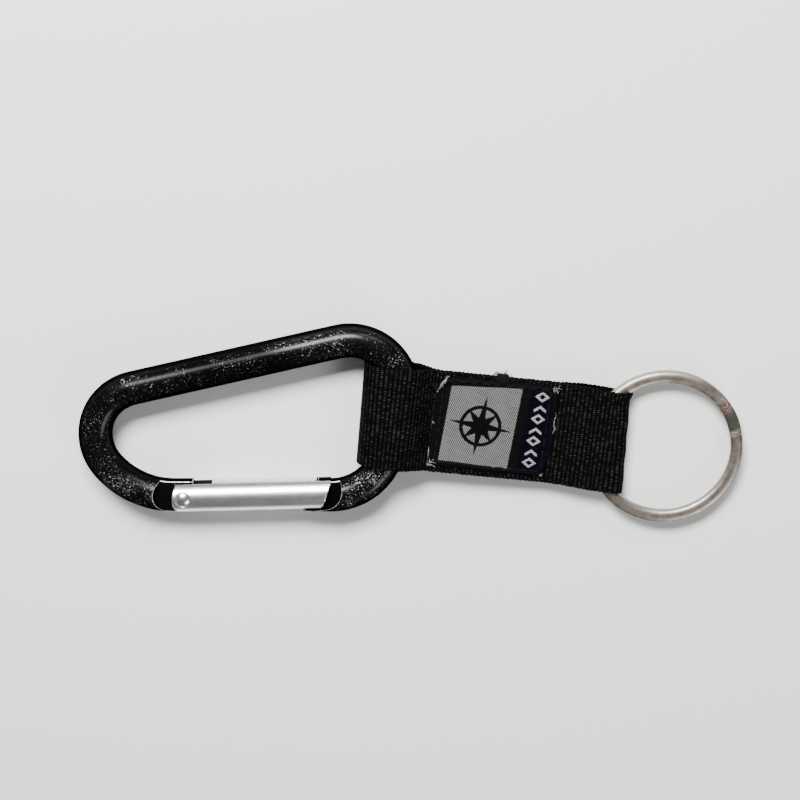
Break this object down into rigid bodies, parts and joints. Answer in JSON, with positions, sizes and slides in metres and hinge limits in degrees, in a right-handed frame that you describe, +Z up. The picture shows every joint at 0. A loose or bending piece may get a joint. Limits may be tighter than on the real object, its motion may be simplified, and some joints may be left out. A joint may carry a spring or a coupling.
{
  "type": "carabiner keyring",
  "caption": "Offset-D accessory carabiner with a sprung gate, a folded webbing strap with a sewn-on woven label, and a split key ring.",
  "frame": {"origin": "centre of the outline, on the surface that the keyring lies on", "axes": "+X from the carabiner to the split ring, along the gate; +Y from the gate to the long back bar; +Z up, out of the face that shows the label"},
  "size_m": [0.1576, 0.0492, 0.0105],
  "materials": {
    "black_rod": "glossy black paint on aluminium, with worn silver speckle",
    "bare_gate": "satin, brushed along its length",
    "rivet_metal": "satin",
    "spring_steel": "bright drawn wire",
    "webbing": "ribbed black nylon weave",
    "label_weave": "twill label in silver grey and navy with a black border",
    "thread": "black sewing thread",
    "ring_steel": "nickel plated, dulled, with a rust spot at the cut end"
  },
  "bodies": {
    "carabiner": {"carabiner_body": "black_rod", "webbing_carabiner_loop": "webbing"},
    "gate": {"gate": "bare_gate", "gate_rivet": "rivet_metal", "gate_spring": "spring_steel"},
    "plunger": {"gate_plunger": "spring_steel"},
    "strap": {"webbing_middle": "webbing", "label": "label_weave", "label_needle_thread": "thread", "label_bobbin_thread": "thread"},
    "ring_end": {"webbing_ring_loop": "webbing"},
    "ring": {"split_ring": "ring_steel"}
  },
  "joints": [
    {"name": "gate_hinge", "type": "hinge", "parent": "carabiner", "child": "gate", "pos_m": [-0.05422, -0.01741, 0.00525], "axis": [0, 0, 1], "range_deg": [0, 30], "stiffness_Nm_per_rad": 0.02, "springref_deg": -17.19, "deforming": ["gate_spring"]},
    {"name": "plunger_slide", "type": "slide", "parent": "gate", "child": "plunger", "axis": [0.9997, 0.0262, 0], "range_m": [0, 0.00058]},
    {"name": "strap_flex", "type": "hinge", "parent": "carabiner", "child": "strap", "pos_m": [0.00407, 0.00062, 0.00484], "axis": [0.1167, 0.9932, 0], "range_deg": [-60, 60]},
    {"name": "ring_end_flex", "type": "hinge", "parent": "strap", "child": "ring_end", "pos_m": [0.03367, -0.00285, 0.00314], "axis": [0.1167, 0.9932, 0], "range_deg": [-60, 60]},
    {"name": "ring_spin", "type": "hinge", "parent": "ring_end", "child": "ring", "pos_m": [0.06019, -0.00597, 0.00271], "axis": [0, 0, 1], "continuous": true}
  ],
  "couplings": [
    {"joint": "plunger_slide", "follows": "gate_hinge", "m_per_rad": 0.00108}
  ]
}
